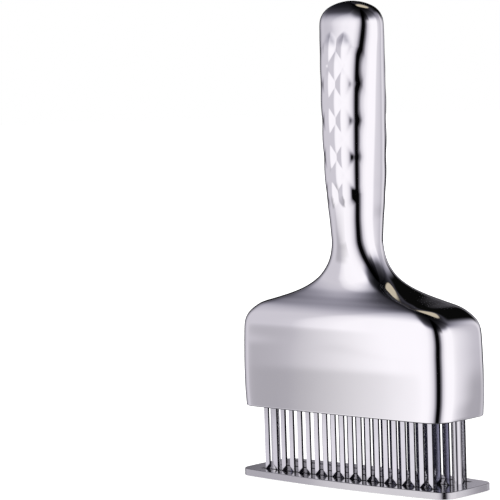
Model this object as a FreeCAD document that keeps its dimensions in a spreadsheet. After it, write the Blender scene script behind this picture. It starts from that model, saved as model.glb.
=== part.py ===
import FreeCAD, Part
import math
import os

V = FreeCAD.Vector

# Blade meat tenderizer, plunge type.  Millimetres.
# Origin: centre of the guard plate's underside.  +Z up, X along the blade rows,
# -Y is the front face.  The tool stands on its guard plate, springs extended.

doc = FreeCAD.newDocument("blade_meat_tenderizer")

# ---------------------------------------------------------------- spreadsheet
sheet = doc.addObject("Spreadsheet::Sheet", "sizes")
sheet.Label = "sizes"
_row = [1]


def put(alias, value):
    cell = "A%d" % _row[0]
    sheet.set("B%d" % _row[0], alias)
    sheet.set(cell, repr(float(value)))
    sheet.setAlias(cell, alias)
    _row[0] += 1


sizes = [
    # guard plate
    ("plate_thick", 3.0), ("plate_half_length", 61.61), ("plate_half_depth", 20.46),
    ("plate_side_radius", 504.0), ("plate_end_radius", 160.0), ("plate_corner", 7.2),
    ("plate_rim_round", 0.35),
    ("slot_width", 1.8), ("slot_length", 104.3), ("slot_mid_length", 100.9),
    # blade combs
    ("row_offset", 11.35), ("blade_pitch", 5.07), ("blade_width", 2.6),
    ("blade_thick", 0.9), ("pairs_per_row", 10), ("pair_pitch", 10.14),
    ("row_length", 98.93), ("tip_low", 1.4), ("tip_rise", 2.6),
    ("bevel_size", 0.8),
    ("spine_low", 38.6), ("spine_high", 46.6),
    # blade carrier
    ("carrier_low", 34.6), ("carrier_thick", 4.0), ("carrier_length", 112.6),
    ("carrier_depth", 31.6), ("carrier_corner", 7.0), ("carrier_slot", 1.3),
    # clamp pack
    ("spacer_depth", 10.45), ("spacer_offset", 5.675), ("spacer_length", 94.0),
    ("clamp_depth", 2.5), ("clamp_offset", 13.05), ("clamp_length", 92.0),
    ("bolt_reach", 40.0), ("bolt_height", 42.6), ("bolt_radius", 1.5),
    ("bolt_clear", 1.65), ("bolt_head_radius", 2.8), ("bolt_head_high", 1.8),
    ("bolt_end", 16.25), ("bolt_face", 14.3), ("nut_corner_radius", 3.15),
    ("nut_high", 2.0), ("nut_bore", 1.52),
    # carrier screws and their bosses
    ("screw_reach", 25.0), ("screw_side", 5.675), ("screw_radius", 1.95),
    ("screw_clear", 2.2), ("screw_head_radius", 3.8), ("screw_head_high", 2.1),
    ("screw_length", 23.4), ("boss_radius", 4.0), ("boss_high", 40.0),
    ("boss_bore", 2.0), ("boss_bore_depth", 14.0),
    # guide posts
    ("post_reach", 53.4), ("post_radius", 2.1), ("post_top", 44.0),
    ("groove_low", 39.85), ("groove_high", 0.7), ("groove_radius", 1.6),
    ("post_tap_radius", 1.25), ("post_tap_depth", 9.0), ("post_top_chamfer", 0.5),
    # guide bushes
    ("bush_radius", 3.0), ("bush_bore", 2.16), ("bush_flange_radius", 3.5),
    ("bush_flange_thick", 1.0),
    # retaining clip and spring seat
    ("clip_radius", 3.2), ("clip_thick", 0.6), ("clip_bore", 1.62), ("clip_mouth", 2.6),
    ("seat_low", 40.5), ("seat_thick", 0.8), ("seat_radius", 3.2), ("seat_bore", 2.2),
    # return springs
    ("spring_wire_radius", 0.35), ("spring_mean_radius", 2.65),
    ("spring_low", 41.3), ("spring_high", 69.5), ("spring_turns", 8.0),
    # post screws
    ("pin_radius", 1.22), ("pin_clear", 1.4), ("pin_head_radius", 2.4),
    ("pin_head_high", 1.3), ("pin_sink", 0.15), ("pin_length", 10.0),
    # housing inside
    ("pad_low", 69.5), ("pad_high", 14.0), ("pad_length", 12.0), ("pad_depth", 11.0),
    ("form_step", 2.0),
]
for alias, value in sizes:
    put(alias, value)

# Outer form of the housing: height, half length, half depth, corner radius,
# bow of the long side and bow of the end at each level.
form = [
    (32.6, 59.28, 19.27, 8.2, 1.12, 0.78), (42.0, 60.26, 18.95, 8.4, 1.12, 0.78),
    (52.0, 60.50, 18.82, 8.5, 1.12, 0.78), (61.0, 60.34, 18.82, 8.5, 1.14, 0.78),
    (66.5, 60.20, 18.98, 8.3, 1.50, 0.80), (70.5, 59.82, 18.98, 8.2, 1.55, 0.82),
    (73.5, 58.96, 18.72, 8.3, 1.52, 0.92), (76.0, 57.24, 18.12, 8.3, 1.52, 1.03),
    (78.2, 54.56, 17.22, 8.0, 1.48, 1.08), (80.2, 51.02, 16.15, 7.5, 1.36, 1.00),
    (82.5, 42.95, 14.82, 6.9, 1.36, 0.82), (85.5, 32.95, 13.14, 6.3, 1.56, 0.76),
    (89.0, 25.05, 11.50, 6.4, 1.84, 0.82), (93.5, 19.15, 10.26, 7.0, 2.12, 1.00),
    (99.0, 15.02, 9.90, 7.7, 2.05, 1.12), (104.5, 12.44, 10.28, 7.9, 1.70, 1.00),
    (110.0, 11.24, 10.82, 8.0, 1.28, 0.80), (117.0, 11.28, 11.34, 8.2, 0.86, 0.58),
    (126.0, 11.92, 11.90, 8.6, 0.58, 0.40), (138.0, 12.62, 12.30, 9.1, 0.50, 0.34),
    (152.0, 13.42, 12.52, 9.5, 0.57, 0.42), (168.0, 14.18, 12.46, 9.8, 0.77, 0.58),
    (182.0, 14.76, 12.00, 9.7, 0.93, 0.72), (194.0, 15.32, 11.08, 9.2, 1.02, 0.78),
    (201.0, 15.78, 10.12, 8.6, 1.00, 0.75), (205.0, 15.80, 9.50, 8.0, 0.85, 0.67),
    (208.0, 15.34, 9.09, 7.4, 0.65, 0.58), (210.5, 14.12, 8.46, 6.7, 0.56, 0.53),
    (212.5, 12.20, 7.32, 6.0, 0.52, 0.46), (214.0, 9.56, 5.87, 4.9, 0.44, 0.38),
    (215.2, 6.22, 4.06, 3.5, 0.32, 0.28), (215.8, 3.16, 2.66, 2.3, 0.22, 0.20),
    (216.0, 1.00, 1.60, 0.9, 0.12, 0.15),
]
# Cored inside of the casting, open at the rim, closed inside the grip.
core = [
    (30.0, 57.00, 17.10, 6.2, 1.0, 0.7), (45.0, 57.50, 17.00, 6.2, 1.0, 0.7),
    (58.0, 57.80, 16.60, 6.2, 1.0, 0.7), (66.0, 57.60, 16.10, 6.2, 1.0, 0.7),
    (70.5, 57.00, 15.50, 6.1, 0.9, 0.7), (73.0, 55.40, 14.90, 6.0, 0.9, 0.7),
    (75.5, 51.00, 14.20, 6.0, 0.8, 0.7), (78.5, 42.50, 13.20, 5.9, 0.8, 0.7),
    (82.5, 29.50, 11.60, 5.8, 0.7, 0.6), (87.0, 20.00, 10.00, 5.7, 0.6, 0.6),
    (93.0, 13.60, 8.40, 5.6, 0.5, 0.5), (100.0, 9.90, 7.50, 5.6, 0.5, 0.5),
    (110.0, 8.40, 7.40, 5.6, 0.5, 0.5), (124.0, 9.40, 8.40, 6.3, 0.5, 0.5),
    (146.0, 10.40, 9.40, 7.0, 0.5, 0.5), (178.0, 11.00, 9.30, 7.0, 0.5, 0.5),
    (190.0, 10.30, 8.40, 6.6, 0.4, 0.4), (194.0, 7.60, 6.40, 5.4, 0.2, 0.2),
    (196.0, 3.20, 2.80, 2.6, 0.0, 0.0),
]
for prefix, table in (("form", form), ("core", core)):
    for i, (lz, la, lb, lr, ls, le) in enumerate(table):
        put("%s_level_%02d" % (prefix, i), lz)
        put("%s_length_%02d" % (prefix, i), la)
        put("%s_depth_%02d" % (prefix, i), lb)
        put("%s_corner_%02d" % (prefix, i), lr)
        put("%s_sidebow_%02d" % (prefix, i), ls)
        put("%s_endbow_%02d" % (prefix, i), le)
doc.recompute()


def val(alias):
    return float(sheet.get(alias))


# ------------------------------------------------------------------- helpers
def bind(obj, prop, expr):
    obj.setExpression(prop, expr)


def add_box(name, length, width, height, x, y, z):
    o = doc.addObject("Part::Box", name)
    for prop, expr in (("Length", length), ("Width", width), ("Height", height),
                       (".Placement.Base.x", x), (".Placement.Base.y", y),
                       (".Placement.Base.z", z)):
        bind(o, prop, expr)
    return o


def add_cyl(name, radius, height, x, y, z, axis="z"):
    o = doc.addObject("Part::Cylinder", name)
    bind(o, "Radius", radius)
    bind(o, "Height", height)
    if axis == "y":                      # axis along +Y
        o.Placement = FreeCAD.Placement(V(0, 0, 0), FreeCAD.Rotation(V(1, 0, 0), -90))
    for prop, expr in ((".Placement.Base.x", x), (".Placement.Base.y", y),
                       (".Placement.Base.z", z)):
        bind(o, prop, expr)
    return o


def add_cone(name, low_radius, high_radius, height, x, y, z):
    o = doc.addObject("Part::Cone", name)
    bind(o, "Radius1", low_radius)
    bind(o, "Radius2", high_radius)
    bind(o, "Height", height)
    for prop, expr in ((".Placement.Base.x", x), (".Placement.Base.y", y),
                       (".Placement.Base.z", z)):
        bind(o, prop, expr)
    return o


def cut(name, base, tool):
    o = doc.addObject("Part::Cut", name)
    o.Base = base
    o.Tool = tool
    return o


def fuse(name, shapes):
    o = doc.addObject("Part::MultiFuse", name)
    o.Shapes = shapes
    return o


def group(name, shapes):
    o = doc.addObject("Part::Compound", name)
    o.Links = shapes
    return o


def origin_plane(body, role):
    return [f for f in body.Origin.OriginFeatures if f.Role == role][0]


def new_sketch(body, name, role, offset=None):
    sk = body.newObject("Sketcher::SketchObject", name)
    sk.AttachmentSupport = [(origin_plane(body, role), "")]
    sk.MapMode = "FlatFace"
    if offset is not None:
        bind(sk, ".AttachmentOffset.Base.z", offset)
    return sk


import Sketcher


def rect_centred(sk, length, width, low=None):
    """Rectangle symmetric about the vertical axis; centred on the origin, or with
    its lower edge at the expression low."""
    i = sk.GeometryCount
    pts = [V(-5, 5, 0), V(5, 5, 0), V(5, 9, 0), V(-5, 9, 0)]
    for k in range(4):
        sk.addGeometry(Part.LineSegment(pts[k], pts[(k + 1) % 4]), False)
    for k in range(4):
        sk.addConstraint(Sketcher.Constraint("Coincident", i + k, 2, i + (k + 1) % 4, 1))
    if low is None:
        sk.addConstraint(Sketcher.Constraint("Horizontal", i))
    sk.addConstraint(Sketcher.Constraint("Horizontal", i + 2))
    sk.addConstraint(Sketcher.Constraint("Vertical", i + 1))
    sk.addConstraint(Sketcher.Constraint("Vertical", i + 3))
    c = sk.addConstraint(Sketcher.Constraint("DistanceX", i, 1, i, 2, 10.0))
    bind(sk, "Constraints[%d]" % c, length)
    c = sk.addConstraint(Sketcher.Constraint("DistanceY", i + 1, 1, i + 1, 2, 4.0))
    bind(sk, "Constraints[%d]" % c, width)
    if low is None:
        sk.addConstraint(Sketcher.Constraint("Symmetric", i, 1, i + 1, 2, -1, 1))
    else:
        sk.addConstraint(Sketcher.Constraint("Symmetric", i, 1, i, 2, -2))
        c = sk.addConstraint(Sketcher.Constraint("DistanceY", -1, 1, i, 1, 5.0))
        bind(sk, "Constraints[%d]" % c, low)
    return i


def pad(body, name, sk, length, symmetric=False, reverse=False):
    f = body.newObject("PartDesign::Pad", name)
    f.Profile = sk
    bind(f, "Length", length)
    f.SideType = "Symmetric" if symmetric else "One side"
    f.Reversed = reverse
    return f


def check_cut(before, feature, what):
    doc.recompute()
    if not feature.Shape.Volume < before - 1e-6:
        raise RuntimeError(what + " removes nothing")


# --------------------------------------------------------------- guard plate
guard_plate = doc.addObject("PartDesign::Body", "guard_plate")
sk = new_sketch(guard_plate, "plate_outline", "XY_Plane")
a, b = val("plate_half_length"), val("plate_half_depth")
rs, re = val("plate_side_radius"), val("plate_end_radius")
# corner where a side arc (centre on Y) meets an end arc (centre on X)
cx_, cy_ = a - 1.0, b - 3.6
for _ in range(40):
    cy_ = math.sqrt(rs * rs - cx_ * cx_) - (rs - b)
    cx_ = math.sqrt(re * re - cy_ * cy_) - (re - a)


def side_arc(centre, radius, p, q):
    t0 = math.atan2(p.y - centre.y, p.x - centre.x)
    t1 = math.atan2(q.y - centre.y, q.x - centre.x)
    if t1 < t0:
        t1 += 2 * math.pi
    return Part.ArcOfCircle(Part.Circle(centre, V(0, 0, 1), radius), t0, t1)


P = [V(cx_, -cy_, 0), V(cx_, cy_, 0), V(-cx_, cy_, 0), V(-cx_, -cy_, 0)]
sk.addGeometry(side_arc(V(a - re, 0, 0), re, P[0], P[1]), False)
sk.addGeometry(side_arc(V(0, b - rs, 0), rs, P[1], P[2]), False)
sk.addGeometry(side_arc(V(re - a, 0, 0), re, P[2], P[3]), False)
sk.addGeometry(side_arc(V(0, rs - b, 0), rs, P[3], P[0]), False)
for k in range(4):
    sk.addConstraint(Sketcher.Constraint("Coincident", k, 2, (k + 1) % 4, 1))
for k, axis in ((0, -1), (1, -2), (2, -1), (3, -2)):
    sk.addConstraint(Sketcher.Constraint("PointOnObject", k, 3, axis))
for k, expr in ((0, "sizes.plate_end_radius"), (1, "sizes.plate_side_radius"),
                (2, "sizes.plate_end_radius"), (3, "sizes.plate_side_radius")):
    c = sk.addConstraint(Sketcher.Constraint("Radius", k, re if k % 2 == 0 else rs))
    bind(sk, "Constraints[%d]" % c, expr)
c = sk.addConstraint(Sketcher.Constraint("DistanceX", 0, 3, -1, 1, re - a))
bind(sk, "Constraints[%d]" % c, "sizes.plate_end_radius - sizes.plate_half_length")
c = sk.addConstraint(Sketcher.Constraint("DistanceX", -1, 1, 2, 3, re - a))
bind(sk, "Constraints[%d]" % c, "sizes.plate_end_radius - sizes.plate_half_length")
c = sk.addConstraint(Sketcher.Constraint("DistanceY", 1, 3, -1, 1, rs - b))
bind(sk, "Constraints[%d]" % c, "sizes.plate_side_radius - sizes.plate_half_depth")
c = sk.addConstraint(Sketcher.Constraint("DistanceY", -1, 1, 3, 3, rs - b))
bind(sk, "Constraints[%d]" % c, "sizes.plate_side_radius - sizes.plate_half_depth")
plate_pad = pad(guard_plate, "plate_blank", sk, "sizes.plate_thick")
doc.recompute()
corner_edges = []
for i, e in enumerate(plate_pad.Shape.Edges):
    bb = e.BoundBox
    if bb.ZLength > 2.0 and bb.XLength < 0.01 and bb.YLength < 0.01:
        corner_edges.append("Edge%d" % (i + 1))
corners = guard_plate.newObject("PartDesign::Fillet", "plate_corners")
corners.Base = (plate_pad, corner_edges)
bind(corners, "Radius", "sizes.plate_corner")
doc.recompute()
rim_edges = []
for i, e in enumerate(corners.Shape.Edges):
    bb = e.BoundBox
    if bb.ZLength < 0.001 and bb.ZMin > val("plate_thick") - 0.01:
        rim_edges.append("Edge%d" % (i + 1))
rim = guard_plate.newObject("PartDesign::Fillet", "plate_rim")
rim.Base = (corners, rim_edges)
bind(rim, "Radius", "sizes.plate_rim_round")
doc.recompute()


def slot_pocket(body, name, length, width, depth, offset_y, through_from):
    """A straight slot along X through the body, at the side given by offset_y."""
    s = new_sketch(body, name + "_sketch", "XY_Plane", through_from)
    i = s.GeometryCount
    y0 = 8.0 * offset_y
    pts = [V(-20, y0 - 1, 0), V(20, y0 - 1, 0), V(20, y0 + 1, 0), V(-20, y0 + 1, 0)]
    for k in range(4):
        s.addGeometry(Part.LineSegment(pts[k], pts[(k + 1) % 4]), False)
    for k in range(4):
        s.addConstraint(Sketcher.Constraint("Coincident", i + k, 2, i + (k + 1) % 4, 1))
    if offset_y == 0:
        s.addConstraint(Sketcher.Constraint("Horizontal", i))
    s.addConstraint(Sketcher.Constraint("Horizontal", i + 2))
    s.addConstraint(Sketcher.Constraint("Vertical", i + 1))
    s.addConstraint(Sketcher.Constraint("Vertical", i + 3))
    c1 = s.addConstraint(Sketcher.Constraint("DistanceX", i, 1, i, 2, 40.0))
    bind(s, "Constraints[%d]" % c1, length)
    c1 = s.addConstraint(Sketcher.Constraint("DistanceY", i + 1, 1, i + 1, 2, 2.0))
    bind(s, "Constraints[%d]" % c1, width)
    if offset_y == 0:
        s.addConstraint(Sketcher.Constraint("Symmetric", i, 1, i + 1, 2, -1, 1))
    else:
        s.addConstraint(Sketcher.Constraint("Symmetric", i, 1, i, 2, -2))
        if offset_y > 0:
            c1 = s.addConstraint(Sketcher.Constraint("DistanceY", -1, 1, i, 1, 7.0))
        else:
            c1 = s.addConstraint(Sketcher.Constraint("DistanceY", i + 2, 1, -1, 1, 7.0))
        bind(s, "Constraints[%d]" % c1, "sizes.row_offset - %s / 2" % width)
    doc.recompute()
    before = body.Shape.Volume
    p = body.newObject("PartDesign::Pocket", name)
    p.Profile = s
    bind(p, "Length", depth)
    p.Reversed = True
    check_cut(before, p, name)
    return p


for nm, oy, ln in (("front_slot", -1, "sizes.slot_length"), ("middle_slot", 0, "sizes.slot_mid_length"),
                   ("rear_slot", 1, "sizes.slot_length")):
    slot_pocket(guard_plate, nm, ln, "sizes.slot_width", "sizes.plate_thick + 2", oy, "-1")


def hole_pair(body, name, radius, low, depth):
    """Two round holes at the post centres."""
    s = new_sketch(body, name + "_sketch", "XY_Plane", low)
    for k, sx in enumerate((-1, 1)):
        s.addGeometry(Part.Circle(V(40 * sx, 0, 0), V(0, 0, 1), 1.0), False)
        s.addConstraint(Sketcher.Constraint("PointOnObject", k, 3, -1))
        c1 = s.addConstraint(Sketcher.Constraint("Radius", k, 1.0))
        bind(s, "Constraints[%d]" % c1, radius)
        if sx > 0:
            c1 = s.addConstraint(Sketcher.Constraint("DistanceX", -1, 1, k, 3, 40.0))
        else:
            c1 = s.addConstraint(Sketcher.Constraint("DistanceX", k, 3, -1, 1, 40.0))
        bind(s, "Constraints[%d]" % c1, "sizes.post_reach")
    doc.recompute()
    before = body.Shape.Volume
    p = body.newObject("PartDesign::Pocket", name)
    p.Profile = s
    bind(p, "Length", depth)
    p.Reversed = True
    check_cut(before, p, name)
    return p


screw_holes = hole_pair(guard_plate, "post_screw_holes", "sizes.pin_clear", "-1",
                        "sizes.plate_thick + 2")
doc.recompute()
sink_edges = []
for i, e in enumerate(screw_holes.Shape.Edges):
    bb = e.BoundBox
    if (bb.ZLength < 0.001 and abs(bb.ZMin) < 0.001 and isinstance(e.Curve, Part.Circle)
            and abs(e.Curve.Radius - val("pin_clear")) < 1e-4):
        sink_edges.append("Edge%d" % (i + 1))
sinks = guard_plate.newObject("PartDesign::Chamfer", "post_screw_sinks")
sinks.Base = (screw_holes, sink_edges)
bind(sinks, "Size", "sizes.pin_head_high")
doc.recompute()

# ---------------------------------------------------------------- blade combs
def comb(name, offset):
    """One strip of twenty blades on a common spine.  The blades stand in mirrored
    pairs: each tip is cut at a slant, highest on the inner side of the pair, and
    ground to an edge from the front."""
    body = doc.addObject("PartDesign::Body", name)
    s = new_sketch(body, name + "_spine_sketch", "XZ_Plane")
    rect_centred(s, "sizes.row_length", "sizes.spine_high - sizes.spine_low", "sizes.spine_low")
    pad(body, name + "_spine", s, "sizes.blade_thick", symmetric=True)
    # first pair of blades at the left end of the row
    s = new_sketch(body, name + "_pair_sketch", "XZ_Plane")
    half, w, p = val("row_length") / 2, val("blade_width"), val("blade_pitch")
    lo, rise, top = val("tip_low"), val("tip_rise"), val("spine_low") + 1.0
    quads = [
        [V(-half, lo, 0), V(-half + w, lo + rise, 0), V(-half + w, top, 0), V(-half, top, 0)],
        [V(-half + p, lo + rise, 0), V(-half + p + w, lo, 0), V(-half + p + w, top, 0),
         V(-half + p, top, 0)]]
    for n, quad in enumerate(quads):
        g = 4 * n
        for k in range(4):
            s.addGeometry(Part.LineSegment(quad[k], quad[(k + 1) % 4]), False)
        for k in range(4):
            s.addConstraint(Sketcher.Constraint("Coincident", g + k, 2, g + (k + 1) % 4, 1))
        s.addConstraint(Sketcher.Constraint("Vertical", g + 1))
        s.addConstraint(Sketcher.Constraint("Horizontal", g + 2))
        s.addConstraint(Sketcher.Constraint("Vertical", g + 3))
        c1 = s.addConstraint(Sketcher.Constraint("DistanceX", g, 1, g, 2, w))
        bind(s, "Constraints[%d]" % c1, "sizes.blade_width")
        lowp, highp = (1, 2) if n == 0 else (2, 1)
        c1 = s.addConstraint(Sketcher.Constraint("DistanceY", g, lowp, g, highp, rise))
        bind(s, "Constraints[%d]" % c1, "sizes.tip_rise")
        c1 = s.addConstraint(Sketcher.Constraint("DistanceY", -1, 1, g, lowp, lo))
        bind(s, "Constraints[%d]" % c1, "sizes.tip_low")
        c1 = s.addConstraint(Sketcher.Constraint("DistanceY", -1, 1, g + 2, 1, top))
        bind(s, "Constraints[%d]" % c1, "sizes.spine_low + 1")
        c1 = s.addConstraint(Sketcher.Constraint("DistanceX", g, 1, -1, 1, half - n * p))
        bind(s, "Constraints[%d]" % c1,
             "sizes.row_length / 2" if n == 0 else "sizes.row_length / 2 - sizes.blade_pitch")
    pair = pad(body, name + "_first_pair", s, "sizes.blade_thick", symmetric=True)
    doc.recompute()
    before = body.Shape.Volume
    row = body.newObject("PartDesign::LinearPattern", name + "_row")
    row.Originals = [pair]
    row.Direction = (origin_plane(body, "X_Axis"), [""])
    row.Mode = "Spacing"
    bind(row, "Offset", "sizes.pair_pitch")
    bind(row, "Occurrences", "sizes.pairs_per_row")
    body.Tip = row
    doc.recompute()
    if not row.Shape.Volume > before + 1.0:
        raise RuntimeError(name + ": the pair is not repeated")
    # cross bolt holes in the spine
    s = new_sketch(body, name + "_hole_sketch", "XZ_Plane", "-5")
    for k, sx in enumerate((-1, 0, 1)):
        s.addGeometry(Part.Circle(V(20 * sx, 40, 0), V(0, 0, 1), 1.0), False)
        c1 = s.addConstraint(Sketcher.Constraint("Radius", k, 1.0))
        bind(s, "Constraints[%d]" % c1, "sizes.bolt_clear")
        c1 = s.addConstraint(Sketcher.Constraint("DistanceY", -1, 1, k, 3, 40.0))
        bind(s, "Constraints[%d]" % c1, "sizes.bolt_height")
        if sx == 0:
            s.addConstraint(Sketcher.Constraint("PointOnObject", k, 3, -2))
        elif sx > 0:
            c1 = s.addConstraint(Sketcher.Constraint("DistanceX", -1, 1, k, 3, 20.0))
            bind(s, "Constraints[%d]" % c1, "sizes.bolt_reach")
        else:
            c1 = s.addConstraint(Sketcher.Constraint("DistanceX", k, 3, -1, 1, 20.0))
            bind(s, "Constraints[%d]" % c1, "sizes.bolt_reach")
    doc.recompute()
    before = body.Shape.Volume
    h = body.newObject("PartDesign::Pocket", name + "_holes")
    h.Profile = s
    h.Length = 10.0
    h.Reversed = True
    check_cut(before, h, name + " holes")
    # bevel of every tip, ground from the front
    half_t = val("blade_thick") / 2
    edges = []
    for i, e in enumerate(h.Shape.Edges):
        bb = e.BoundBox
        if (abs(bb.YMin + half_t) < 1e-4 and bb.YLength < 1e-4 and bb.XLength > 1.0
                and abs(bb.ZLength - val("tip_rise")) < 1e-3):
            edges.append("Edge%d" % (i + 1))
    before = h.Shape.Volume
    bevel = body.newObject("PartDesign::Chamfer", name + "_bevels")
    bevel.Base = (h, edges)
    bind(bevel, "Size", "sizes.bevel_size")
    check_cut(before, bevel, name + " bevels")
    bind(body, ".Placement.Base.y", offset)
    return body


front_comb = comb("front_blade_comb", "-sizes.row_offset")
middle_comb = comb("middle_blade_comb", "0")
rear_comb = comb("rear_blade_comb", "sizes.row_offset")

# --------------------------------------------------------------- blade carrier
carrier = doc.addObject("PartDesign::Body", "blade_carrier")
sk = new_sketch(carrier, "carrier_outline", "XY_Plane", "sizes.carrier_low")
rect_centred(sk, "sizes.carrier_length", "sizes.carrier_depth")
carrier_pad = pad(carrier, "carrier_blank", sk, "sizes.carrier_thick")
doc.recompute()
edges = []
for i, e in enumerate(carrier_pad.Shape.Edges):
    if e.BoundBox.ZLength > 2.0:
        edges.append("Edge%d" % (i + 1))
carrier_round = carrier.newObject("PartDesign::Fillet", "carrier_corners")
carrier_round.Base = (carrier_pad, edges)
bind(carrier_round, "Radius", "sizes.carrier_corner")
doc.recompute()
for nm, oy in (("carrier_front_slot", -1), ("carrier_middle_slot", 0), ("carrier_rear_slot", 1)):
    slot_pocket(carrier, nm, "sizes.row_length + 0.6", "sizes.carrier_slot",
                "sizes.carrier_thick + 2", oy, "sizes.carrier_low - 1")
hole_pair(carrier, "carrier_bush_bores", "sizes.bush_radius + 0.02", "sizes.carrier_low - 1",
          "sizes.carrier_thick + 2")
sk = new_sketch(carrier, "carrier_screw_sketch", "XY_Plane", "sizes.carrier_low - 1")
k = 0
for sx in (-1, 1):
    for sy in (-1, 1):
        sk.addGeometry(Part.Circle(V(20 * sx, 5 * sy, 0), V(0, 0, 1), 1.5), False)
        c = sk.addConstraint(Sketcher.Constraint("Radius", k, 1.5))
        bind(sk, "Constraints[%d]" % c, "sizes.screw_clear")
        if sx > 0:
            c = sk.addConstraint(Sketcher.Constraint("DistanceX", -1, 1, k, 3, 20.0))
        else:
            c = sk.addConstraint(Sketcher.Constraint("DistanceX", k, 3, -1, 1, 20.0))
        bind(sk, "Constraints[%d]" % c, "sizes.screw_reach")
        if sy > 0:
            c = sk.addConstraint(Sketcher.Constraint("DistanceY", -1, 1, k, 3, 5.0))
        else:
            c = sk.addConstraint(Sketcher.Constraint("DistanceY", k, 3, -1, 1, 5.0))
        bind(sk, "Constraints[%d]" % c, "sizes.screw_side")
        k += 1
doc.recompute()
before = carrier.Shape.Volume
carrier_holes = carrier.newObject("PartDesign::Pocket", "carrier_screw_holes")
carrier_holes.Profile = sk
bind(carrier_holes, "Length", "sizes.carrier_thick + 2")
carrier_holes.Reversed = True
check_cut(before, carrier_holes, "carrier screw holes")
edges = []
for i, e in enumerate(carrier_holes.Shape.Edges):
    bb = e.BoundBox
    if (bb.ZLength < 0.001 and abs(bb.ZMin - val("carrier_low")) < 0.001
            and isinstance(e.Curve, Part.Circle)
            and abs(e.Curve.Radius - val("screw_clear")) < 1e-4):
        edges.append("Edge%d" % (i + 1))
carrier_sinks = carrier.newObject("PartDesign::Chamfer", "carrier_screw_sinks")
carrier_sinks.Base = (carrier_holes, edges)
bind(carrier_sinks, "Size", "sizes.screw_head_high")
doc.recompute()


# ------------------------------------------------------- spacer and clamp bars
def bar(name, length, depth, centre, screws):
    """Steel bar between or beside the combs, bored across for the bolts."""
    blank = add_box(name + "_blank", length, depth, "sizes.spine_high - sizes.spine_low",
                    "-%s / 2" % length, "%s - %s / 2" % (centre, depth), "sizes.spine_low")
    tools = []
    for i, sx in enumerate((-1, 0, 1)):
        tools.append(add_cyl("%s_cross_%d" % (name, i + 1), "sizes.bolt_clear", depth + " + 2",
                             "%d * sizes.bolt_reach" % sx, "%s - %s / 2 - 1" % (centre, depth),
                             "sizes.bolt_height", axis="y"))
    if screws:
        for i, sx in enumerate((-1, 1)):
            tools.append(add_cyl("%s_screw_%d" % (name, i + 1), "sizes.screw_clear",
                                 "sizes.spine_high - sizes.spine_low + 2",
                                 "%d * sizes.screw_reach" % sx, centre, "sizes.spine_low - 1"))
    return cut(name, blank, fuse(name + "_bores", tools))


front_spacer = bar("front_spacer_bar", "sizes.spacer_length", "sizes.spacer_depth",
                   "(-sizes.spacer_offset)", True)
rear_spacer = bar("rear_spacer_bar", "sizes.spacer_length", "sizes.spacer_depth",
                  "sizes.spacer_offset", True)
front_clamp = bar("front_clamp_bar", "sizes.clamp_length", "sizes.clamp_depth",
                  "(-sizes.clamp_offset)", False)
rear_clamp = bar("rear_clamp_bar", "sizes.clamp_length", "sizes.clamp_depth",
                 "sizes.clamp_offset", False)

# ---------------------------------------------------- cross bolts and their nuts
bolts, nuts = [], []
for i, sx in enumerate((-1, 0, 1)):
    x = "%d * sizes.bolt_reach" % sx
    head = add_cyl("bolt_head_%d" % (i + 1), "sizes.bolt_head_radius", "sizes.bolt_head_high",
                   x, "-sizes.bolt_face - sizes.bolt_head_high", "sizes.bolt_height", axis="y")
    shank = add_cyl("bolt_shank_%d" % (i + 1), "sizes.bolt_radius",
                    "sizes.bolt_face + sizes.bolt_end", x, "-sizes.bolt_face",
                    "sizes.bolt_height", axis="y")
    socket = doc.addObject("Part::Prism", "bolt_socket_%d" % (i + 1))
    socket.Polygon = 6
    socket.Circumradius = 1.15
    socket.Height = 1.2
    socket.Placement = FreeCAD.Placement(V(0, 0, 0), FreeCAD.Rotation(V(1, 0, 0), -90))
    bind(socket, ".Placement.Base.x", x)
    bind(socket, ".Placement.Base.y", "-sizes.bolt_face - sizes.bolt_head_high - 0.1")
    bind(socket, ".Placement.Base.z", "sizes.bolt_height")
    bolts.append(cut("cross_bolt_%d" % (i + 1), fuse("bolt_blank_%d" % (i + 1), [head, shank]),
                     socket))
    nut = doc.addObject("Part::Prism", "nut_blank_%d" % (i + 1))
    nut.Polygon = 6
    bind(nut, "Circumradius", "sizes.nut_corner_radius")
    bind(nut, "Height", "sizes.nut_high")
    nut.Placement = FreeCAD.Placement(V(0, 0, 0), FreeCAD.Rotation(V(1, 0, 0), -90))
    bind(nut, ".Placement.Base.x", x)
    bind(nut, ".Placement.Base.y", "sizes.bolt_face")
    bind(nut, ".Placement.Base.z", "sizes.bolt_height")
    nut_bore = add_cyl("nut_bore_%d" % (i + 1), "sizes.nut_bore", "sizes.nut_high + 2", x,
                       "sizes.bolt_face - 1", "sizes.bolt_height", axis="y")
    nuts.append(cut("cross_nut_%d" % (i + 1), nut, nut_bore))
cross_bolts = group("cross_bolts", bolts)
cross_nuts = group("cross_bolt_nuts", nuts)

# -------------------------------------------------------------- carrier screws
screws = []
n = 0
for sx in (-1, 1):
    for sy in (-1, 1):
        n += 1
        x, y = "%d * sizes.screw_reach" % sx, "%d * sizes.screw_side" % sy
        head = add_cone("screw_head_%d" % n, "sizes.screw_head_radius", "sizes.screw_radius",
                        "sizes.screw_head_high - 0.2", x, y, "sizes.carrier_low + 0.1")
        shank = add_cyl("screw_shank_%d" % n, "sizes.screw_radius", "sizes.screw_length - 0.1",
                        x, y, "sizes.carrier_low + 0.1")
        drive = doc.addObject("Part::Prism", "screw_socket_%d" % n)
        drive.Polygon = 6
        drive.Circumradius = 1.45
        drive.Height = 1.8
        bind(drive, ".Placement.Base.x", x)
        bind(drive, ".Placement.Base.y", y)
        bind(drive, ".Placement.Base.z", "sizes.carrier_low - 0.2")
        screws.append(cut("carrier_screw_%d" % n, fuse("screw_blank_%d" % n, [head, shank]),
                          drive))
carrier_screws = group("carrier_screws", screws)

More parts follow.
